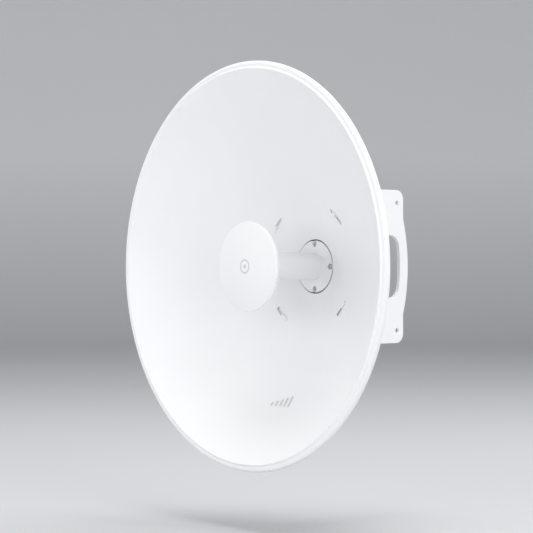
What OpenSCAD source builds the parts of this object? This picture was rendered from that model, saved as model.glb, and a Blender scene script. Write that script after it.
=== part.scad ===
// Solid parabolic point-to-point dish antenna with a backfire feed, a cast rear
// frame with two hand-holds, an elevation yoke and a two-jaw mast clamp.
// Millimetres. +Z runs up the mast, the dish looks along -Y, and the origin is on
// the mast axis at boresight height.

/* [Reflector] */
// Outside diameter of the rolled rim
dish_d = 650; // [560:10:760]
// Four times the focal length of the bowl
four_f = 641; // [600:1:700]
// Thickness of the reflector skin
skin_t = 2; // [1.6:0.1:2.6]
// Minor radius of the rolled rim bead
bead_r = 5.1; // [4.6:0.1:5.4]
// Radius of the centre hole in the bowl
hub_hole_r = 44.2; // [43.8:0.1:45]

/* [Feed] */
// Outside radius of the feed tube
tube_r = 21; // [20.5:0.1:22]
// Radius of the feed flange
flange_r = 42.4; // [41.6:0.1:42.8]
// Circle that the four flange screws stand on
screw_pcd = 72.8; // [68:0.2:74]
// Radius of the sub-reflector cap
cap_r = 71.6; // [60:0.2:80]
// How far the cap's middle stands forward of its edge
cap_dome = 5; // [3:0.5:8]

/* [Rear frame] */
// Half the width over the two side flanges
frame_x = 95; // [94:0.5:100]
// Thickness of a side flange
flange_t = 3.2; // [3:0.1:4]
// Half the height of a side flange
frame_z = 124.3; // [122:0.1:128]
// Radius of the plain fixing holes near the flange corners
corner_hole_r = 3.75; // [3.3:0.05:4.5]
// Width of the hand grip, front to back
grip_w = 17.5; // [16:0.5:20]
// Thickness of the hand grip, side to side
grip_t = 6.6; // [6:0.1:7.4]

/* [Elevation yoke] */
// Largest tilt up or down, in degrees
tilt_max = 15; // [8:1:15]
// Radius of the pivot bolt shank
pivot_r = 5; // [4:0.5:5]
// Radius of the lock bolt shank
lock_r = 4; // [3:0.5:4]
// Running clearance round a turning or sliding shank
run_gap = 0.06; // [0.02:0.01:0.1]

/* [Mast clamp] */
// Mast diameter that the jaws are cut for
mast_d = 60.3; // [48.3:0.1:60.3]
// Height of one clamp jaw
jaw_h = 28; // [22:1:30]
// Height of the clamp bands above and below boresight
jaw_z = 66; // [62:1:66]
// Half the distance between a band's two bolts
clamp_x = 45; // [42:1:46]

/* [Hidden] */
$fn = 96;

white = [0.95, 0.96, 0.97];
zinc = [0.72, 0.74, 0.76];
steel = [0.78, 0.78, 0.80];
black = [0.12, 0.12, 0.13];

// The lengths along Y below are counted back from the rim plane of a 650 mm dish.
mast_y = 240;
vertex_y = 148.4;
web_y = 151;
web_t = 5;
pivot_y = 188;
lock_z = 80;
rim_r = dish_d / 2;
crest_r = rim_r - 12;
crest_y = vertex_y - crest_r * crest_r / four_f;
bead_c = [rim_r - bead_r, crest_y + 7];
mast_r = mast_d / 2;
bulge_s = 10.5;
bulge_z = 77.5;
rear_y = 252.9;
bulge_R = (bulge_z * bulge_z + bulge_s * bulge_s) / (2 * bulge_s);
bulge_cy = rear_y + bulge_s - bulge_R;
corner_y = 239.2;
corner_z = 103.6;
ear_x = frame_x - flange_t - 4.5;
ear_t = 4;

// The front face of the bowl, and the same face moved back by t along its normal.
function bowl_y(r) = vertex_y - r * r / four_f;
function bowl_n(r) = let (s = 2 * r / four_f, l = sqrt(1 + s * s)) [s / l, 1 / l];
function bowl_back(r, t) = [r + t * bowl_n(r)[0], bowl_y(r) + t * bowl_n(r)[1]];
function arc(c, r, a0, a1, n) = [for (i = [0:n]) let (a = a0 + (a1 - a0) * i / n) [c[0] + r * cos(a), c[1] + r * sin(a)]];

module placed() { translate([0, -mast_y, 0]) children(); }
module turned() { rotate([-90, 0, 0]) rotate_extrude() children(); }
module sector(a0, a1) { rotate([0, -a1, 0]) rotate([-90, 0, 0]) rotate_extrude(angle = a1 - a0) children(); }
module ycyl(r, y0, y1) { translate([0, y0, 0]) rotate([-90, 0, 0]) cylinder(h = y1 - y0, r = r); }
module xcyl(r, x0, x1) { translate([x0, 0, 0]) rotate([0, 90, 0]) cylinder(h = x1 - x0, r = r); }
module yhex(af, y0, y1) { translate([0, y0, 0]) rotate([-90, 0, 0]) cylinder(h = y1 - y0, r = af / sqrt(3), $fn = 6); }
module xhex(af, x0, x1) { translate([x0, 0, 0]) rotate([0, 90, 0]) cylinder(h = x1 - x0, r = af / sqrt(3), $fn = 6); }
module xplate(x0, x1) { translate([x0, 0, 0]) rotate([90, 0, 90]) linear_extrude(x1 - x0) children(); }
module yplate(y0, y1) { translate([0, y1, 0]) rotate([90, 0, 0]) linear_extrude(y1 - y0) children(); }
module both() { children(); mirror([1, 0, 0]) children(); }
module pair(x, z) { for (s = [-1, 1]) translate([s * x, 0, z]) children(); }
module four(x, z) { for (s = [-1, 1]) for (t = [-1, 1]) translate([s * x, 0, t * z]) children(); }

// ---------------------------------------------------------------- dish head

module rim_section() {
    c = bead_c;
    dc = [crest_r, crest_y];
    polygon(concat(
        [for (i = [0:30]) let (r = hub_hole_r + (crest_r - 1.4 - hub_hole_r) * i / 30) [r, bowl_y(r)]],
        [[dc[0] - 0.6, dc[1] + 0.4], dc + [0.1, 0], dc + [0.9, 0.2], dc + [1.8, 1.0], dc + [2.6, 1.8], dc + [3.3, 2.2], dc + [4.0, 2.3]],
        arc(c, bead_r, -116, 150, 28),
        arc(c, bead_r - skin_t, 150, -130, 22),
        [dc + [3.5, 5.2], dc + [2.3, 4.6], dc + [1.3, 3.6], dc + [0.5, 2.9]],
        [for (i = [30:-1:0]) let (r = hub_hole_r + (crest_r - 3.4 - hub_hole_r) * i / 30) bowl_back(r, skin_t)]));
}

module reflector() {
    color(white) placed() difference() {
        turned() rim_section();
        // windows that the frame's four hooks reach through
        for (k = [0:3]) sector(41 + 90 * k, 53.8 + 90 * k) translate([100.8, 120]) square([5.7, 30]);
        // locking hole beside the upper right hook
        rotate([0, -58, 0]) translate([103.8, 0, 0]) ycyl(4, 120, 140);
    }
}

module hub_gasket() {
    color(black) placed() turned() polygon([[43, 147.8], [44.6, 147.8], [52, 146.8], [52, 150.9], [43, 150.9]]);
}

module feed_tube() {
    color(white) placed() difference() {
        union() {
            turned() polygon(concat(
                [[18.1, 8], [40, 8], [40, 10]],
                [[32, 22], [25, 36], [tube_r, 47]],
                [[tube_r, 142.1]],
                arc([tube_r + 2, 142.1], 2, 180, 90, 6),
                [[flange_r - 0.6, 144.1], [flange_r, 144.7], [flange_r, 150.9], [27.5, 150.9], [27.5, 147.6], [18.1, 147.6]]));
        }
        for (a = [0:90:270]) rotate([0, a, 0]) translate([screw_pcd / 2, 0, 0]) {
            ycyl(2.3, 140, 160);
            // a U-shaped notch, open to the rim, that the head sits in
            ycyl(4.6, 140, 148.2);
            translate([0, 140, -4.6]) cube([12, 8.2, 9.2]);
        }
        turned() translate([29.4, 149.4]) square([1.9, 3]);
    }
}

module feed_screws() {
    color(steel) placed() for (a = [0:90:270]) rotate([0, a, 0]) translate([screw_pcd / 2, 0, 0]) difference() {
        union() {
            turned() polygon([[0, 145.4], [1.7, 145.5], [2.9, 146.0], [3.5, 147.0], [3.6, 148.1], [0, 148.1]]);
            ycyl(2, 148.0, 155);
        }
        // six-lobe drive recess
        for (b = [0:60:120]) rotate([0, b, 0]) translate([-1.5, 145, -0.45]) cube([3, 1.6, 0.9]);
    }
}

module feed_oring() {
    color(black) placed() turned() translate([30.35, 150.2]) circle(r = 0.78, $fn = 24);
}

module waveguide() {
    color(steel) placed() turned() translate([15.6, 52]) square([2.4, 106]);
}

module dielectric_plug() {
    color([0.93, 0.92, 0.88]) placed() turned()
        polygon([[0, 16], [9, 8], [17.9, 8], [17.9, 51.9], [15.4, 51.9], [15.4, 54], [8, 62], [0, 78]]);
}

module sub_reflector() {
    color(steel) placed() turned()
        polygon([[0, 12.5], [7, 7.9], [cap_r - 3.4, 7.9], [cap_r - 3.4, 6.2], [10, 4.6], [0, 4.6]]);
}

module sub_reflector_cap() {
    // Drawn as a shallow cup, open at the back, with a rounded edge.
    color(white) placed() turned() polygon(concat(
        [for (i = [0:12]) let (r = (cap_r - 1.8) * i / 12) [r, 2 - cap_dome * (1 - pow(r / (cap_r - 1.8), 2))]],
        arc([cap_r - 1.8, 3.8], 1.8, -75, 0, 5),
        [[cap_r, 7.2], [cap_r - 0.7, 7.9], [cap_r - 3.2, 7.9], [cap_r - 3.2, 5.9], [0, 4.3]]));
}

module transducer_body() {
    color(steel) placed() difference() {
        union() {
            ycyl(35, 156.1, 160);
            yplate(159.9, 186) square([50, 50], center = true);
            pair(12, 0) translate([0, 172, -30]) cylinder(h = 8, r = 7);
        }
        ycyl(18.1, 150, 158.1);
        ycyl(15.5, 150, 182);
        pair(12, 0) translate([0, 172, -31]) cylinder(h = 26, r = 2.1);
        for (a = [0:90:270]) rotate([0, a, 0]) translate([30.5, 0, 0]) ycyl(1.7, 150, 162);
        pair(12, 0) translate([0, 172, -30.2]) cylinder(h = 4.2, r = 4.1);
    }
}

module transducer_screws() {
    color(steel) placed() for (a = [0:90:270]) rotate([0, a, 0]) translate([30.5, 0, 0]) union() {
        ycyl(1.5, 152, 160.1);
        difference() {
            ycyl(2.7, 160, 163);
            yhex(2.5, 161.4, 164);
        }
    }
}

module probe_pins() {
    color([0.85, 0.68, 0.3]) placed() pair(12, 0) translate([0, 172, -26]) union() {
        cylinder(h = 20, r = 0.65);
        cylinder(h = 4, r = 1.9);
    }
}

module rf_connectors() {
    color([0.85, 0.68, 0.3]) placed() pair(12, 0) translate([0, 172, 0]) difference() {
        union() {
            translate([0, 0, -30]) cylinder(h = 4, r = 4);
            translate([0, 0, -33]) cylinder(h = 3, r = 5.5);
            translate([0, 0, -44]) cylinder(h = 11.1, r = 3.1);
        }
        translate([0, 0, -45]) cylinder(h = 9, r = 2.3);
        translate([0, 0, -37]) cylinder(h = 12, r = 0.6);
    }
}

module connector_nuts() {
    color(zinc) placed() pair(12, 0) translate([0, 172, 0]) difference() {
        translate([0, 0, -35.4]) cylinder(h = 2.3, r = 8 / sqrt(3), $fn = 6);
        translate([0, 0, -36]) cylinder(h = 4, r = 3.15);
    }
}

module flange_outline() {
    polygon(concat(
        [[web_y, -frame_z]],
        arc([rear_y - 15, -frame_z + 15], 15, -90, 0, 12),
        arc([bulge_cy, 0], bulge_R, -asin(bulge_z / bulge_R), asin(bulge_z / bulge_R), 40),
        arc([rear_y - 15, frame_z - 15], 15, 0, 90, 12),
        [[web_y, frame_z]]));
}

module hand_hold(e = 0) {
    // a D with a bowed back wall and round corners, grown outward by e
    cz = 31;
    cr = 20;
    fr = 10;
    fy = 207;
    fz = cz + cr - fr;
    cy = bulge_cy + sqrt(pow(bulge_R - grip_w - cr, 2) - cz * cz);
    intersection() {
        translate([bulge_cy, 0]) circle(r = bulge_R - grip_w + e, $fn = 240);
        translate([fy - e, -100]) square([100, 200]);
        union() {
            translate([fy, -cz]) square([50, 2 * cz]);
            translate([fy - e, -fz]) square([fr + e + 1, 2 * fz]);
            translate([fy + fr, -cz - cr - e]) square([cy - fy - fr, 2 * (cz + cr + e)]);
            for (t = [-1, 1]) translate([fy + fr, t * fz]) circle(r = fr + e);
            for (t = [-1, 1]) translate([cy, t * cz]) circle(r = cr + e);
        }
    }
}

module arc_slot(a) {
    // lock bolt track: a ring sector with round ends, centred on the pivot
    w = lock_r + 0.3;
    h = tilt_max + 0.4;
    intersection() {
        difference() { circle(r = lock_z + w, $fn = 180); circle(r = lock_z - w, $fn = 180); }
        polygon([[0, 0], 120 * [cos(a - h), sin(a - h)], 120 * [cos(a), sin(a)], 120 * [cos(a + h), sin(a + h)]]);
    }
    for (s = [-1, 1]) rotate(a + s * h) translate([lock_z, 0]) circle(r = w, $fn = 48);
}

module side_flange() {
    difference() {
        union() {
            xplate(frame_x - flange_t, frame_x) flange_outline();
            // collar round the hand-hold
            xplate(frame_x - grip_t, frame_x - 1) difference() { hand_hold(6); hand_hold(0); }
            // thickened, rounded grip
            intersection() {
                translate([0, bulge_cy, 0]) rotate([0, 90, 0]) rotate_extrude($fn = 240)
                    polygon([[bulge_R - grip_w, frame_x - grip_t + 2], [bulge_R - grip_w + 0.6, frame_x - grip_t + 0.6], [bulge_R - grip_w + 2, frame_x - grip_t],
                             [bulge_R - 2, frame_x - grip_t], [bulge_R - 0.6, frame_x - grip_t + 0.6], [bulge_R, frame_x - grip_t + 2],
                             [bulge_R, frame_x - 1], [bulge_R - 1, frame_x], [bulge_R - grip_w + 1, frame_x], [bulge_R - grip_w, frame_x - 1]]);
                translate([frame_x - grip_t - 5, 200, -56]) cube([grip_t + 10, 100, 112]);
            }
        }
        xplate(frame_x - 20, frame_x + 5) hand_hold();
        xplate(frame_x - 20, frame_x + 5) translate([pivot_y, 0]) { arc_slot(90); arc_slot(-90); }
        translate([0, pivot_y, 0]) xcyl(pivot_r + run_gap, frame_x - 20, frame_x + 5);
        for (t = [-1, 1]) translate([0, corner_y, t * corner_z]) xcyl(corner_hole_r, frame_x - 20, frame_x + 5);
    }
}

module frame_web() {
    difference() {
        yplate(web_y, web_y + web_t) difference() {
            square([2 * frame_x - 1, 2 * frame_z], center = true);
            for (t = [-1, 1]) translate([-60, t > 0 ? 81 : -141]) square([120, 60]);
            // lightening windows beside the hub
            for (s = [-1, 1]) translate([s * 66, 0]) circle(r = 13);
            circle(r = 27);
        }
        for (a = [0:90:270]) rotate([0, a, 0]) translate([screw_pcd / 2, 0, 0]) ycyl(2.05, 140, 170);
        for (a = [0:90:270]) rotate([0, a, 0]) translate([30.5, 0, 0]) ycyl(1.55, 140, 170);
        for (s = [-1, 1]) translate([s * 18, 0, -66]) ycyl(2.05, 140, 170);
        translate([75, 0, 100]) ycyl(2.55, 140, 170);
    }
}

module hook(k) {
    // pad behind the window, a bearing post at each end of it, a neck through the window and a foot over the front face
    top = k == 0 ? 55 : 56;
    sector(39 + 90 * k, top + 90 * k) polygon([[97, 138.8], [110, 134.6], [110, web_y + web_t], [97, web_y + web_t]]);
    for (e = [[39.1, 40.6], [54.2, top - 0.1]]) sector(e[0] + 90 * k, e[1] + 90 * k)
        polygon([[97.4, 136.2], [109.6, 132.2], [109.6, 142], [97.4, 142]]);
    sector(50.6 + 90 * k, 53.6 + 90 * k) polygon([[101.3, 130.4], [106.0, 128.9], [106.0, 142], [101.3, 142]]);
    sector(50.6 + 90 * k, (k == 0 ? 55.4 : 57.7) + 90 * k) polygon([[101.0, 132.2], [106.3, 130.5], [106.3, 128.7], [101.0, 130.4]]);
}

module mount_frame() {
    color(white) placed() union() {
        frame_web();
        both() side_flange();
        for (k = [0:3]) hook(k);
        // ribs that tie the flanges to the web
        both() for (t = [-1, 1]) translate([0, 0, t * 112 - 2]) linear_extrude(4)
            polygon([[62, 155.9], [frame_x - 2, 155.9], [frame_x - 2, 200]]);
    }
}

module radio_cradle() {
    color(white) placed() difference() {
        union() {
            translate([-32, 156.1, -79]) cube([64, 4, 28]);
            both() translate([26, 160, -79]) cube([4, 8, 28]);
            both() translate([20, 165.5, -79]) cube([10, 2.5, 28]);
        }
        for (s = [-1, 1]) translate([s * 18, 0, -66]) ycyl(2.2, 150, 170);
    }
}

module cradle_screws() {
    color(steel) placed() for (s = [-1, 1]) translate([s * 18, 0, -66]) union() {
        ycyl(2, 152, 160.2);
        difference() {
            ycyl(3.6, 160.1, 162.6);
            yhex(2.5, 161.2, 164);
        }
    }
}

module earth_screw() {
    color(steel) placed() translate([75, 0, 100]) union() {
        ycyl(2.5, 150, 158.2);
        difference() {
            yhex(8, 157.6, 161.4);
            translate([-0.6, 160.2, -5]) cube([1.2, 3, 10]);
        }
    }
}

module earth_washer() {
    color(zinc) placed() translate([75, 0, 100]) difference() {
        ycyl(5, 156.1, 157.5);
        ycyl(2.6, 150, 160);
    }
}

// ------------------------------------------------------------ pole bracket

module ear_outline() {
    polygon([[205, -84], [205, 84], [198, 90], [187, 90], [181, 84], [176, 55], [176, -55], [181, -84], [187, -90], [198, -90]]);
}

module pole_bracket() {
    color(zinc) placed() difference() {
        union() {
            both() xplate(ear_x - ear_t, ear_x) ear_outline();
            yplate(200, 205) difference() {
                square([2 * ear_x, 164], center = true);
                square([80, 70], center = true);
            }
        }
        both() translate([0, pivot_y, 0]) xcyl(pivot_r + 0.05, ear_x - 20, ear_x + 5);
        both() for (t = [-1, 1]) translate([0, pivot_y, t * lock_z]) xcyl(lock_r + 0.05, ear_x - 20, ear_x + 5);
        four(clamp_x, jaw_z) ycyl(4.05, 190, 210);
    }
}

module front_jaw(z) {
    color(zinc) placed() difference() {
        translate([0, 0, z - jaw_h / 2]) linear_extrude(jaw_h) difference() {
            polygon([[-58, 205.1], [58, 205.1], [58, 222], [40, 236], [-40, 236], [-58, 222]]);
            translate([0, mast_y]) circle(r = mast_r, $fn = 120);
        }
        pair(clamp_x, z) ycyl(4.05, 200, 250);
    }
}

module rear_jaw(z) {
    color(zinc) placed() difference() {
        translate([0, 0, z - jaw_h / 2]) linear_extrude(jaw_h) difference() {
            polygon([[-40, 244], [40, 244], [60, 252], [60, 262], [37, 262], [27, 279], [-27, 279], [-37, 262], [-60, 262], [-60, 252]]);
            translate([0, mast_y]) circle(r = mast_r, $fn = 120);
        }
        pair(clamp_x, z) ycyl(4 + run_gap, 240, 270);
    }
}

module upper_front_jaw() { front_jaw(jaw_z); }
module lower_front_jaw() { front_jaw(-jaw_z); }
module upper_rear_jaw() { rear_jaw(jaw_z); }
module lower_rear_jaw() { rear_jaw(-jaw_z); }

module clamp_bolts() {
    color(steel) placed() four(clamp_x, jaw_z) union() {
        turned() polygon([[0, 195.2], [4, 195.6], [7.4, 197.4], [8.5, 199.9], [0, 199.9]]);
        ycyl(4, 199.8, 284);
        turned() polygon([[0, 283.9], [4, 283.9], [3.2, 285.2], [0, 285.2]]);
    }
}

module clamp_washers(z) {
    color(steel) placed() pair(clamp_x, z) difference() {
        ycyl(8, 262, 263.6);
        ycyl(4 + run_gap, 250, 270);
    }
}

module clamp_nuts(z) {
    color(steel) placed() pair(clamp_x, z) difference() {
        yhex(13, 263.7, 270.2);
        ycyl(4 + run_gap, 250, 280);
    }
}

module upper_clamp_washers() { clamp_washers(jaw_z); }
module lower_clamp_washers() { clamp_washers(-jaw_z); }
module upper_clamp_nuts() { clamp_nuts(jaw_z); }
module lower_clamp_nuts() { clamp_nuts(-jaw_z); }

module bolt_x(r, af, len_in) {
    union() {
        xhex(af, frame_x + 1.7, frame_x + 1.7 + af * 0.4);
        xcyl(r, ear_x - len_in, frame_x + 1.8);
    }
}

module washer_x(r, ro, x0, x1, gap) {
    difference() { xcyl(ro, x0, x1); xcyl(r + gap, x0 - 1, x1 + 1); }
}

module nut_x(r, af) {
    difference() {
        xhex(af, ear_x - ear_t - af * 0.5, ear_x - ear_t - 0.1);
        xcyl(r + 0.05, ear_x - 40, ear_x);
    }
}

module pivot_bolts() { color(steel) placed() both() translate([0, pivot_y, 0]) bolt_x(pivot_r, 17, 14); }
module pivot_washers() { color(steel) placed() both() translate([0, pivot_y, 0]) washer_x(pivot_r, 10, frame_x + 0.05, frame_x + 1.6, 0.05); }
module pivot_spacers() { color(black) placed() both() translate([0, pivot_y, 0]) washer_x(pivot_r, 11, ear_x + 0.05, ear_x + 4.4, 0.05); }
module pivot_nuts() { color(steel) placed() both() translate([0, pivot_y, 0]) nut_x(pivot_r, 17); }
module lock_bolts() { color(steel) placed() both() for (t = [-1, 1]) translate([0, pivot_y, t * lock_z]) bolt_x(lock_r, 13, 12); }
module lock_washers() { color(steel) placed() both() for (t = [-1, 1]) translate([0, pivot_y, t * lock_z]) washer_x(lock_r, 8, frame_x + 0.05, frame_x + 1.6, 0.05); }
module lock_spacers() { color(black) placed() both() for (t = [-1, 1]) translate([0, pivot_y, t * lock_z]) washer_x(lock_r, 8, ear_x + 0.05, ear_x + 4.4, 0.05); }
module lock_nuts() { color(steel) placed() both() for (t = [-1, 1]) translate([0, pivot_y, t * lock_z]) nut_x(lock_r, 13); }

reflector();
hub_gasket();
feed_tube();
feed_screws();
feed_oring();
waveguide();
dielectric_plug();
sub_reflector();
sub_reflector_cap();
transducer_body();
transducer_screws();
probe_pins();
rf_connectors();
connector_nuts();
mount_frame();
radio_cradle();
cradle_screws();
earth_screw();
earth_washer();
pole_bracket();
upper_front_jaw();
lower_front_jaw();
clamp_bolts();
pivot_bolts();
pivot_washers();
pivot_spacers();
pivot_nuts();
lock_bolts();
lock_washers();
lock_spacers();
lock_nuts();
upper_rear_jaw();
lower_rear_jaw();
upper_clamp_washers();
lower_clamp_washers();
upper_clamp_nuts();
lower_clamp_nuts();
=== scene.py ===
import math
from math import sin, cos, pi, sqrt, radians, atan2, asin, floor

import bpy
import bmesh
from mathutils import Vector, Matrix
from mathutils.geometry import tessellate_polygon


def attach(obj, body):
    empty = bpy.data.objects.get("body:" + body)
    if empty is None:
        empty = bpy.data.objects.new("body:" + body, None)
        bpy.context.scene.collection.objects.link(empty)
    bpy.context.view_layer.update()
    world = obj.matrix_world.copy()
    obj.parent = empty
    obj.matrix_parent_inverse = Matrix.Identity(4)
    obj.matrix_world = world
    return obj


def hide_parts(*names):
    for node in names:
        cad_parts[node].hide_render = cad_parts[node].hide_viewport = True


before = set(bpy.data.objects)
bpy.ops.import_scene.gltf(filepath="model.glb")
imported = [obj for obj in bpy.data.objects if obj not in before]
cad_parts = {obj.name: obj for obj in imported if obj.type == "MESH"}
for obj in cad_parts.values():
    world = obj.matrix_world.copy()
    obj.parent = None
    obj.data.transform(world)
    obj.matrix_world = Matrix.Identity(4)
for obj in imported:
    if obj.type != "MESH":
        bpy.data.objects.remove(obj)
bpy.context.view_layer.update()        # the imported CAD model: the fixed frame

scene = bpy.context.scene

# ------------------------------------------------------------------ numbers
# Millimetres, with Y counted back from the rim plane as in the design. MAST is
# where the row frame's origin sits on that scale.
MAST = 240.0
VERTEX = 148.4
FOUR_F = 641.0
RIM = 325.0
CREST_R = RIM - 12.0
CREST_Y = VERTEX - CREST_R ** 2 / FOUR_F
SKIN = 2.0
BEAD = 5.1
HUB = 44.2
FLANGE = 42.4


def bowl(r):
    return VERTEX - r * r / FOUR_F


def bowl_back(r, t=SKIN):
    s = 2 * r / FOUR_F
    l = sqrt(1 + s * s)
    return (r + t * s / l, bowl(r) + t / l)


def row(x, y, z):
    """Design millimetres to row-frame metres."""
    return (x / 1000.0, (y - MAST) / 1000.0, z / 1000.0)


# ---------------------------------------------------------------- mesh tools
def mesh_object(name, verts, faces, sharp=32.0, fix=True):
    me = bpy.data.meshes.new(name)
    me.from_pydata([row(*v) for v in verts], [], faces)
    if fix:
        bm = bmesh.new()
        bm.from_mesh(me)
        bmesh.ops.remove_doubles(bm, verts=bm.verts, dist=1e-7)
        bmesh.ops.recalc_face_normals(bm, faces=bm.faces)
        bm.to_mesh(me)
        bm.free()
    me.polygons.foreach_set("use_smooth", [True] * len(me.polygons))
    me.set_sharp_from_angle(angle=radians(sharp))
    me.update()
    ob = bpy.data.objects.new(name, me)
    scene.collection.objects.link(ob)
    return ob


def lathe_data(profile, angles):
    """A closed profile of (r, y) turned about the dish axis."""
    verts, faces = [], []
    n, m = len(profile), len(angles)
    index = []
    for (r, y) in profile:
        if r < 1e-9:
            index.append([len(verts)] * m)
            verts.append((0.0, y, 0.0))
        else:
            base = len(verts)
            for a in angles:
                verts.append((r * cos(a), y, r * sin(a)))
            index.append(list(range(base, base + m)))
    for i in range(n):
        j = (i + 1) % n
        for k in range(m):
            l = (k + 1) % m
            quad = [index[i][k], index[j][k], index[j][l], index[i][l]]
            out = []
            for q in quad:
                if q not in out:
                    out.append(q)
            if len(out) >= 3:
                faces.append(out)
    return verts, faces


def lathe(name, profile, segs=192, sharp=32.0):
    v, f = lathe_data(profile, [2 * pi * k / segs for k in range(segs)])
    return mesh_object(name, v, f, sharp)


def arc(c, r, a0, a1, n):
    return [(c[0] + r * cos(radians(a0 + (a1 - a0) * i / n)), c[1] + r * sin(radians(a0 + (a1 - a0) * i / n))) for i in range(n + 1)]


def catmull(points, n):
    """A smooth line through the points."""
    out = []
    p = [points[0]] + list(points) + [points[-1]]
    for i in range(1, len(p) - 2):
        for k in range(n):
            t = k / n
            q = []
            for d in range(2):
                a, b, c, e = p[i - 1][d], p[i][d], p[i + 1][d], p[i + 2][d]
                q.append(0.5 * ((2 * b) + (c - a) * t + (2 * a - 5 * b + 4 * c - e) * t * t + (3 * b - a - 3 * c + e) * t ** 3))
            out.append(tuple(q))
    out.append(tuple(points[-1]))
    return out


def cut(ob, cutter):
    m = ob.modifiers.new("cut", "BOOLEAN")
    m.operation = "DIFFERENCE"
    m.solver = "EXACT"
    m.object = cutter
    dg = bpy.context.evaluated_depsgraph_get()
    me = bpy.data.meshes.new_from_object(ob.evaluated_get(dg))
    old = ob.data
    ob.modifiers.clear()
    ob.data = me
    me.name = old.name
    bpy.data.meshes.remove(old)
    bpy.data.objects.remove(cutter)


# ---------------------------------------------------------------- materials
def new_material(name):
    m = bpy.data.materials.new(name)
    m.use_nodes = True
    nt = m.node_tree
    bsdf = nt.nodes["Principled BSDF"]
    co = nt.nodes.new("ShaderNodeTexCoord")
    return m, nt, bsdf, co


def noise(nt, co, scale, detail=3.0, rough=0.5, stretch=None):
    src = co.outputs["Object"]
    if stretch:
        mp = nt.nodes.new("ShaderNodeMapping")
        mp.inputs["Scale"].default_value = stretch
        nt.links.new(src, mp.inputs["Vector"])
        src = mp.outputs["Vector"]
    n = nt.nodes.new("ShaderNodeTexNoise")
    n.inputs["Scale"].default_value = scale
    n.inputs["Detail"].default_value = detail
    n.inputs["Roughness"].default_value = rough
    nt.links.new(src, n.inputs["Vector"])
    return n


def ramp(nt, src, stops):
    r = nt.nodes.new("ShaderNodeValToRGB")
    els = r.color_ramp.elements
    while len(els) < len(stops):
        els.new(0.5)
    for e, (p, c) in zip(els, stops):
        e.position = p
        e.color = (*c, 1.0) if len(c) == 3 else c
    nt.links.new(src, r.inputs["Fac"])
    return r


def rng(nt, src, lo, hi, a=0.0, b=1.0):
    r = nt.nodes.new("ShaderNodeMapRange")
    r.inputs["From Min"].default_value = a
    r.inputs["From Max"].default_value = b
    r.inputs["To Min"].default_value = lo
    r.inputs["To Max"].default_value = hi
    nt.links.new(src, r.inputs["Value"])
    return r.outputs["Result"]


def bump(nt, bsdf, height, strength, distance, under=None):
    b = nt.nodes.new("ShaderNodeBump")
    b.inputs["Strength"].default_value = strength
    b.inputs["Distance"].default_value = distance
    nt.links.new(height, b.inputs["Height"])
    if under is not None:
        nt.links.new(under, b.inputs["Normal"])
    nt.links.new(b.outputs["Normal"], bsdf.inputs["Normal"])
    return b.outputs["Normal"]


def painted(name, lo, hi, rough=(0.38, 0.5), peel=850.0, depth=0.00003, strength=0.25, spec=0.5, coat=0.0):
    """Powder coat or moulded plastic: a faint tone drift, fine orange peel and uneven gloss."""
    m, nt, b, co = new_material(name)
    big = noise(nt, co, 5.0, 2.0)
    nt.links.new(ramp(nt, big.outputs["Fac"], [(0.3, lo), (0.7, hi)]).outputs["Color"], b.inputs["Base Color"])
    mid = noise(nt, co, 60.0, 3.0)
    nt.links.new(rng(nt, mid.outputs["Fac"], rough[0], rough[1], 0.3, 0.7), b.inputs["Roughness"])
    fine = noise(nt, co, peel, 2.0, 0.45)
    bump(nt, b, fine.outputs["Fac"], strength, depth)
    b.inputs["Specular IOR Level"].default_value = spec
    b.inputs["Coat Weight"].default_value = coat
    return m


def metal(name, lo, hi, rough, scale=300.0, stretch=(1, 1, 1), depth=0.00002, strength=0.3):
    m, nt, b, co = new_material(name)
    big = noise(nt, co, 45.0, 4.0)
    nt.links.new(ramp(nt, big.outputs["Fac"], [(0.3, lo), (0.7, hi)]).outputs["Color"], b.inputs["Base Color"])
    b.inputs["Metallic"].default_value = 1.0
    fine = noise(nt, co, scale, 4.0, 0.6, stretch)
    nt.links.new(rng(nt, fine.outputs["Fac"], rough[0], rough[1], 0.3, 0.7), b.inputs["Roughness"])
    bump(nt, b, fine.outputs["Fac"], strength, depth)
    return m


def galvanised(name):
    """Hot-dip zinc: large soft spangle over a fine grain."""
    m, nt, b, co = new_material(name)
    v = nt.nodes.new("ShaderNodeTexVoronoi")
    v.inputs["Scale"].default_value = 130.0
    warp = noise(nt, co, 70.0, 3.0)
    mix = nt.nodes.new("ShaderNodeVectorMath")
    mix.operation = "MULTIPLY_ADD"
    mix.inputs[1].default_value = (0.012, 0.012, 0.012)
    nt.links.new(warp.outputs["Color"], mix.inputs[0])
    nt.links.new(co.outputs["Object"], mix.inputs[2])
    nt.links.new(mix.outputs["Vector"], v.inputs["Vector"])
    sep = nt.nodes.new("ShaderNodeSeparateColor")
    nt.links.new(v.outputs["Color"], sep.inputs["Color"])
    nt.links.new(ramp(nt, sep.outputs["Red"], [(0.0, (0.50, 0.52, 0.54)), (0.5, (0.58, 0.60, 0.62)), (1.0, (0.66, 0.68, 0.70))]).outputs["Color"], b.inputs["Base Color"])
    b.inputs["Metallic"].default_value = 0.85
    nt.links.new(rng(nt, sep.outputs["Green"], 0.34, 0.52), b.inputs["Roughness"])
    fine = noise(nt, co, 500.0, 3.0)
    bump(nt, b, fine.outputs["Fac"], 0.3, 0.00002)
    return m


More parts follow.
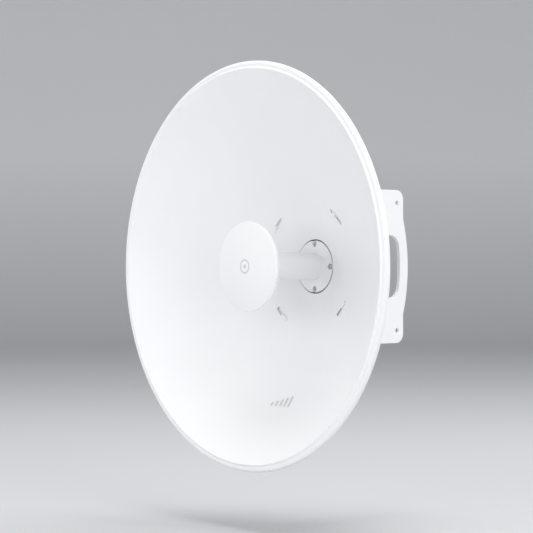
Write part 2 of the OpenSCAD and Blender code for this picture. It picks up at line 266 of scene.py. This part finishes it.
M = {
    "coat": painted("white_powder_coat", (0.865, 0.872, 0.880), (0.885, 0.890, 0.896), rough=(0.40, 0.50)),
    "plastic": painted("white_moulding", (0.855, 0.862, 0.870), (0.875, 0.880, 0.886), rough=(0.36, 0.44), peel=1500.0, depth=0.000012, strength=0.2),
    "mark": painted("grey_print", (0.60, 0.61, 0.62), (0.64, 0.65, 0.66), rough=(0.45, 0.55), peel=1600.0, depth=0.00001, strength=0.15),
    "black": painted("black_moulding", (0.020, 0.020, 0.022), (0.030, 0.030, 0.032), rough=(0.42, 0.55), peel=1400.0, depth=0.00002, strength=0.3),
    "rubber": painted("black_rubber", (0.016, 0.016, 0.016), (0.026, 0.026, 0.026), rough=(0.65, 0.8), peel=900.0, depth=0.00005, strength=0.4, spec=0.3),
    "natural": painted("natural_plastic", (0.74, 0.72, 0.66), (0.80, 0.78, 0.72), rough=(0.45, 0.55), peel=900.0, depth=0.00003, strength=0.3),
    "stainless": metal("stainless", (0.56, 0.56, 0.57), (0.66, 0.66, 0.67), (0.24, 0.36), 420.0),
    "gold": metal("gold_plate", (0.83, 0.62, 0.28), (0.90, 0.70, 0.36), (0.18, 0.28), 500.0),
    "bare": metal("bare_aluminium", (0.70, 0.71, 0.72), (0.78, 0.79, 0.80), (0.30, 0.42), 350.0),
    "cast": metal("cast_alloy", (0.50, 0.51, 0.52), (0.60, 0.61, 0.62), (0.42, 0.58), 700.0, depth=0.00006, strength=0.5),
    "zinc": galvanised("galvanised_steel"),
}

NODE_MATERIAL = {
    "reflector": "coat", "mount_frame": "coat", "radio_cradle": "plastic", "feed_tube": "plastic",
    "sub_reflector_cap": "plastic", "hub_gasket": "rubber", "feed_oring": "rubber",
    "pivot_spacers": "black", "lock_spacers": "black", "feed_screws": "stainless",
    "transducer_screws": "stainless", "cradle_screws": "stainless", "earth_screw": "stainless",
    "earth_washer": "stainless", "clamp_bolts": "stainless", "pivot_bolts": "stainless",
    "lock_bolts": "stainless", "pivot_nuts": "stainless", "lock_nuts": "stainless",
    "upper_clamp_nuts": "stainless", "lower_clamp_nuts": "stainless",
    "upper_clamp_washers": "stainless", "lower_clamp_washers": "stainless",
    "pivot_washers": "stainless", "lock_washers": "stainless", "connector_nuts": "gold",
    "rf_connectors": "gold", "probe_pins": "gold", "waveguide": "bare", "sub_reflector": "bare",
    "transducer_body": "bare", "dielectric_plug": "natural", "pole_bracket": "zinc",
    "upper_front_jaw": "cast", "lower_front_jaw": "cast", "upper_rear_jaw": "cast",
    "lower_rear_jaw": "cast",
}


def give(ob, key):
    ob.data.materials.clear()
    ob.data.materials.append(M[key])


def dress(name, bevel, segs=3, limit=28.0):
    """Rounds the edges of a CAD node with modifiers; its own mesh stays as it is."""
    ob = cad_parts[name]
    w = ob.modifiers.new("weld", "WELD")
    w.merge_threshold = 1e-6
    if name != "mount_frame":   # its cut-out faces don't survive being merged into large polygons
        d = ob.modifiers.new("planar", "DECIMATE")
        d.decimate_type = "DISSOLVE"
        d.angle_limit = radians(0.4)
    b = ob.modifiers.new("round", "BEVEL")
    b.width = bevel / 1000.0
    b.segments = segs
    b.limit_method = "ANGLE"
    b.angle_limit = radians(limit)
    b.use_clamp_overlap = True
    b.miter_outer = "MITER_ARC"
    n = ob.modifiers.new("normals", "WEIGHTED_NORMAL")
    n.weight = 80
    n.keep_sharp = False
    return ob


for name, key in NODE_MATERIAL.items():
    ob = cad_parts[name]
    for s in ob.material_slots:
        s.material = M[key]
    if not ob.material_slots:
        ob.data.materials.append(M[key])

BEVELS = {
    "mount_frame": 0.9, "pole_bracket": 0.8, "radio_cradle": 0.6, "transducer_body": 0.6,
    "upper_front_jaw": 1.2, "lower_front_jaw": 1.2, "upper_rear_jaw": 1.2, "lower_rear_jaw": 1.2,
    "pivot_bolts": 0.4, "lock_bolts": 0.35, "pivot_nuts": 0.4, "lock_nuts": 0.35,
    "upper_clamp_nuts": 0.35, "lower_clamp_nuts": 0.35, "upper_clamp_washers": 0.2,
    "lower_clamp_washers": 0.2, "pivot_washers": 0.2, "lock_washers": 0.2, "clamp_bolts": 0.3,
    "pivot_spacers": 0.25, "lock_spacers": 0.25, "earth_screw": 0.25, "earth_washer": 0.2,
    "cradle_screws": 0.2, "transducer_screws": 0.2, "feed_screws": 0.12, "rf_connectors": 0.15,
    "connector_nuts": 0.2, "sub_reflector": 0.3,
}
for name, width in BEVELS.items():
    dress(name, width, segs=3 if width >= 0.3 else 2)


# ---------------------------------------------------------------- the bowl
def reflector_profile():
    dc = (CREST_R, CREST_Y)
    at = lambda a, b: (dc[0] + a, dc[1] + b)
    bc = (RIM - BEAD, CREST_Y + 7.0)
    p = [(HUB + 0.0, bowl(HUB) + 0.7), (HUB + 0.12, bowl(HUB) + 0.25), (HUB + 0.5, bowl(HUB + 0.5) + 0.03)]
    rs = [44.6] + [46 + 4.0 * i for i in range(13)] + [100.8 + 0.0, 103.6, 106.5] + [110 + 5.0 * i for i in range(40)]
    p += [(r, bowl(r)) for r in rs if r < CREST_R - 3.2]
    p += catmull([(CREST_R - 3.0, bowl(CREST_R - 3.0)), (CREST_R - 1.6, bowl(CREST_R - 1.6)), at(-0.55, 0.32), at(0.15, 0.02), at(0.95, 0.25), at(1.8, 1.0), at(2.6, 1.8), at(3.3, 2.2), at(4.0, 2.3)], 4)
    p += arc(bc, BEAD, -116, 150, 44)
    p += arc(bc, (BEAD + BEAD - SKIN) / 2, 150, 150, 1)[:1]
    p += arc(bc, BEAD - SKIN, 150, -130, 24)
    p += catmull([at(3.6, 5.2), at(2.4, 4.6), at(1.3, 3.6), at(0.5, 2.9), bowl_back(CREST_R - 3.4)], 3)
    p += [bowl_back(r) for r in reversed(rs) if r < CREST_R - 6]
    p += [(HUB + 0.3, bowl_back(HUB)[1] - 0.02), (HUB, bowl_back(HUB)[1] - 0.4)]
    return p


def sector_box(a0, a1, r0, r1, y0, y1, corner=1.0, n=14):
    """A cutter for one hook window: an annular sector with round corners."""
    pts = []
    rm = (r0 + r1) / 2
    half = radians((a1 - a0) / 2) * rm
    mid = radians((a0 + a1) / 2)
    h = (r1 - r0) / 2
    out = []
    for cx, cy, s in ((half - corner, h - corner, 0), (-half + corner, h - corner, 90), (-half + corner, -h + corner, 180), (half - corner, -h + corner, 270)):
        for i in range(6):
            a = radians(s + 90 * i / 5)
            out.append((cx + corner * cos(a), cy + corner * sin(a)))
    # run extra points along the long sides so that they follow the circle
    dense = []
    for i in range(len(out)):
        a, b = out[i], out[(i + 1) % len(out)]
        k = max(1, int(abs(b[0] - a[0]) / 1.2))
        for j in range(k):
            dense.append((a[0] + (b[0] - a[0]) * j / k, a[1] + (b[1] - a[1]) * j / k))
    for (u, v) in dense:
        a = mid + u / rm
        r = rm + v
        pts.append((r * cos(a), r * sin(a)))
    m = len(pts)
    verts = [(x, y0, z) for x, z in pts] + [(x, y1, z) for x, z in pts]
    faces = [list(range(m)), list(range(2 * m - 1, m - 1, -1))] + [[i, (i + 1) % m, m + (i + 1) % m, m + i] for i in range(m)]
    return verts, faces


def make_reflector():
    segs = 360
    v, f = lathe_data(reflector_profile(), [2 * pi * k / segs for k in range(segs)])
    ob = mesh_object("reflector_bowl", v, f, 34.0)
    cv, cf = [], []
    for k in range(4):
        a, b = sector_box(41 + 90 * k, 53.8 + 90 * k, 100.8, 106.5, 120, 145)
        cf += [[i + len(cv) for i in q] for q in b]
        cv += a
    m = 40
    ca = radians(58.0)
    ring = [(103.8 * cos(ca) + 4.0 * cos(2 * pi * i / m), 103.8 * sin(ca) + 4.0 * sin(2 * pi * i / m)) for i in range(m)]
    base = len(cv)
    cv += [(x, 118, z) for x, z in ring] + [(x, 142, z) for x, z in ring]
    cf += [[base + i for i in range(m)], [base + 2 * m - 1 - i for i in range(m)]] + [[base + i, base + (i + 1) % m, base + m + (i + 1) % m, base + m + i] for i in range(m)]
    cutter = mesh_object("cutter", cv, cf)
    cut(ob, cutter)
    ob.data.polygons.foreach_set("use_smooth", [True] * len(ob.data.polygons))
    ob.data.set_sharp_from_angle(angle=radians(34))
    give(ob, "coat")
    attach(ob, "dish_head")
    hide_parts("reflector")
    return ob


# ---------------------------------------------------------------- the feed
def make_feed():
    T = 21.0
    F = FLANGE
    prof = [(18.1, 8.2), (18.3, 8.0), (39.4, 8.0), (39.9, 8.2), (40.0, 8.7), (39.6, 9.6)]
    prof += catmull([(38.6, 11.0), (34.0, 17.5), (29.0, 25.0), (25.0, 33.0), (22.4, 41.0), (T + 0.25, 47.5), (T, 54.0)], 5)
    prof += [(T, 54.0 + 8.0 * i) for i in range(1, 11)]
    prof += arc((T + 2.0, 142.1), 2.0, 180, 90, 12)
    prof += [(F - 9.0, 144.1), (F - 0.8, 144.1)] + arc((F - 0.7, 144.8), 0.7, -80, 0, 5) + [(F, 150.4), (F - 0.4, 150.9), (31.3, 150.9), (31.3, 149.4), (29.4, 149.4), (29.4, 150.9), (27.7, 150.9), (27.5, 150.7), (27.5, 147.8), (27.3, 147.6), (18.3, 147.6), (18.1, 147.4)]
    ob = lathe("feed_body", prof, 192, 30.0)
    # four U-shaped notches, open to the flange's rim, and the screw holes in them
    notch, hole = [[], []], [[], []]
    for k in range(4):
        t = pi / 2 * k
        u = [(48.0, -4.6)] + [(36.4 + 4.6 * cos(a), 4.6 * sin(a)) for a in [-pi / 2 - pi * i / 24 for i in range(25)]] + [(48.0, 4.6)]
        h = [(36.4 + 2.3 * cos(2 * pi * i / 32), 2.3 * sin(2 * pi * i / 32)) for i in range(32)]
        for (store, loop, y0, y1) in ((notch, u, 140.0, 148.2), (hole, h, 143.0, 155.0)):
            pts = [(x * cos(t) - z * sin(t), x * sin(t) + z * cos(t)) for (x, z) in loop]
            m, base = len(pts), len(store[0])
            store[0] += [(x, y0, z) for (x, z) in pts] + [(x, y1, z) for (x, z) in pts]
            store[1] += [[base + i for i in range(m)], [base + 2 * m - 1 - i for i in range(m)]]
            store[1] += [[base + i, base + (i + 1) % m, base + m + (i + 1) % m, base + m + i] for i in range(m)]
    for (verts, faces) in (notch, hole):
        cut(ob, mesh_object("cutter", verts, faces))
    ob.data.polygons.foreach_set("use_smooth", [True] * len(ob.data.polygons))
    ob.data.set_sharp_from_angle(angle=radians(30))
    give(ob, "plastic")
    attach(ob, "dish_head")
    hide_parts("feed_tube")

    R = 71.6
    e = 1.9
    # gently domed face, rounded edge, open back that the metal plate closes
    p = [(0.0, -3.0)]
    for i in range(1, 25):
        r = (R - e) * i / 24
        p.append((r, 2 - 5.0 * (1 - (r / (R - e)) ** 2)))
    slope = math.degrees(math.atan(2 * 5.0 / (R - e)))
    p += arc((R - e, 2 + e), e, -90 + slope, 0, 10)[1:]
    p += [(R, 7.1), (R - 0.25, 7.7), (R - 0.8, 7.9), (R - 3.1, 7.9), (R - 3.2, 7.7), (R - 3.2, 6.0), (0.0, 4.35)]
    cap = lathe("feed_cap", p, 256, 30.0)
    give(cap, "plastic")
    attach(cap, "dish_head")
    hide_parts("sub_reflector_cap")
    return ob, cap


def inlay(name, outline, top, depth=0.5, step=1.0):
    """A thin closed inlay: an x-z rectangle with cut corners whose front face follows top(x, z)."""
    x0, x1, z0, z1, c = outline
    nx = max(2, int((x1 - x0) / step))
    nz = max(2, int((z1 - z0) / step))
    def at(i, j):
        x = x0 + (x1 - x0) * i / nx
        z = z0 + (z1 - z0) * j / nz
        # draw the corners in
        dx = min(x - x0, x1 - x)
        dz = min(z - z0, z1 - z)
        if dx + dz < c:
            k = (c - dx - dz) / 2
            x += k if x - x0 < x1 - x else -k
            z += k if z - z0 < z1 - z else -k
        return x, z
    verts = []
    for back in (0, 1):
        for j in range(nz + 1):
            for i in range(nx + 1):
                x, z = at(i, j)
                verts.append((x, top(x, z) + back * depth, z))
    w = nx + 1
    off = w * (nz + 1)
    faces = []
    for j in range(nz):
        for i in range(nx):
            a = j * w + i
            faces.append([a, a + 1, a + w + 1, a + w])
            faces.append([off + a, off + a + w, off + a + w + 1, off + a + 1])
    loop = [i for i in range(w)] + [j * w + nx for j in range(1, nz + 1)] + [nz * w + i for i in range(nx - 1, -1, -1)] + [j * w for j in range(nz - 1, 0, -1)]
    for i in range(len(loop)):
        a, b = loop[i], loop[(i + 1) % len(loop)]
        faces.append([a, off + a, off + b, b])
    ob = mesh_object(name, verts, faces, 34.0)
    give(ob, "mark")
    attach(ob, "dish_head")
    return ob


def make_marks():
    """Plain stand-ins for the two prints: a ring with a dot on the cap, and five rising bars low in the bowl."""
    face = lambda r: 2 - 5.0 * (1 - (r / (71.6 - 1.9)) ** 2)
    for (name, r0, r1) in (("mark_ring", 9.0, 11.6), ("mark_dot", 0.0, 3.2)):
        rs = [r0 + (r1 - r0) * i / 4 for i in range(5)]
        p = [(r, face(r) - 0.06) for r in rs] + [(r, face(r) + 0.5) for r in reversed(rs)]
        ob = lathe(name, p, 96, 34.0)
        give(ob, "mark")
        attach(ob, "dish_head")
    top = lambda x, z: bowl(sqrt(x * x + z * z)) - 0.06
    for i in range(5):
        x = -23.0 + 10.2 * i
        inlay("mark_bar_%d" % (i + 1), (x, x + 5.6, -225.0, -225.0 + 6.0 + 2.9 * i, 1.6), top)


make_reflector()
make_feed()
make_marks()

# ---------------------------------------------------------------- the stage
cam_data = bpy.data.cameras.new("camera")
cam = bpy.data.objects.new("camera", cam_data)
scene.collection.objects.link(cam)
scene.camera = cam
AL = radians(50.053)
cam.location = (2.33736, (-1915.46 - MAST) / 1000.0, 0.0)
cam.rotation_euler = Vector((-sin(AL), cos(AL), 0.0)).to_track_quat("-Z", "Y").to_euler()
cam_data.sensor_width = 36.0
cam_data.lens = 1908.98 / 533.0 * 36.0
cam_data.clip_start = 0.05
cam_data.clip_end = 60.0


def stage_material(name, low, high):
    """Matt studio sweep: an even floor that turns paler where it climbs into the backdrop."""
    m, nt, b, co = new_material(name)
    sep = nt.nodes.new("ShaderNodeSeparateXYZ")
    nt.links.new(co.outputs["Object"], sep.inputs["Vector"])
    n = noise(nt, co, 0.7, 2.0)
    mix = nt.nodes.new("ShaderNodeMath")
    mix.operation = "MULTIPLY_ADD"
    mix.inputs[1].default_value = 0.1
    nt.links.new(n.outputs["Fac"], mix.inputs[0])
    nt.links.new(rng(nt, sep.outputs["Z"], 0.0, 0.9, -0.42, 0.7), mix.inputs[2])
    nt.links.new(ramp(nt, mix.outputs["Value"], [(0.0, low), (1.0, high)]).outputs["Color"], b.inputs["Base Color"])
    b.inputs["Roughness"].default_value = 0.9
    b.inputs["Specular IOR Level"].default_value = 0.1
    return m


def make_stage():
    """A floor that sweeps up into a backdrop all round, so that it is plain from every side."""
    z0 = -0.42
    prof = [(0.0, z0), (3.0, z0), (7.0, z0)]
    for i in range(1, 17):
        a = radians(90 * i / 16)
        prof.append((7.0 + 2.4 * sin(a), z0 + 2.4 * (1 - cos(a))))
    prof.append((9.4, 2.6))
    verts, faces, segs = [], [], 96
    for (r, z) in prof:
        for k in range(segs):
            verts.append((r * cos(2 * pi * k / segs), r * sin(2 * pi * k / segs), z))
    for i in range(len(prof) - 1):
        for k in range(segs):
            l = (k + 1) % segs
            faces.append([i * segs + k, i * segs + l, (i + 1) * segs + l, (i + 1) * segs + k])
    me = bpy.data.meshes.new("floor")
    me.from_pydata(verts, [], faces)
    me.polygons.foreach_set("use_smooth", [True] * len(me.polygons))
    ob = bpy.data.objects.new("floor", me)
    scene.collection.objects.link(ob)
    me.materials.append(stage_material("floor", (0.54, 0.55, 0.56), (0.86, 0.87, 0.88)))


make_stage()


def area(name, loc, target, size, power, color=(1, 1, 1), spread=180.0):
    d = bpy.data.lights.new(name, "AREA")
    d.shape = "RECTANGLE"
    d.size, d.size_y = size
    d.energy = power
    d.color = color
    d.spread = radians(spread)
    o = bpy.data.objects.new(name, d)
    scene.collection.objects.link(o)
    o.location = loc
    o.rotation_euler = (Vector(target) - Vector(loc)).to_track_quat("-Z", "Y").to_euler()
    return o


def softbox(name, az, el, size, power):
    """A soft panel 4 m away; az turns from the front (0) towards the right (90)."""
    a, e = radians(az), radians(el)
    area(name, (4.0 * cos(e) * sin(a), -4.0 * cos(e) * cos(a), 4.0 * sin(e)), (0, 0, 0), (size, size), power)


softbox("key", 75, 8, 1.6, 25.0)
softbox("key_high", 75, 45, 1.6, 12.5)
softbox("front_right_wide", 55, 8, 1.6, 7.0)
softbox("front_right", 30, 8, 1.6, 17.0)
softbox("front", 0, 8, 1.6, 23.5)
softbox("front_left", -35, 8, 1.6, 14.0)
softbox("left", -70, 8, 1.6, 10.5)
softbox("rear", 150, 25, 2.5, 60.0)
area("top", (0.0, 0.0, 4.0), (0, 0, 0), (3.0, 3.0), 120.0)

world = bpy.data.worlds.new("studio")
scene.world = world
world.use_nodes = True
world.node_tree.nodes["Background"].inputs["Color"].default_value = (0.97, 0.985, 1.0, 1.0)
world.node_tree.nodes["Background"].inputs["Strength"].default_value = 0.46
scene.view_settings.view_transform = "Standard"
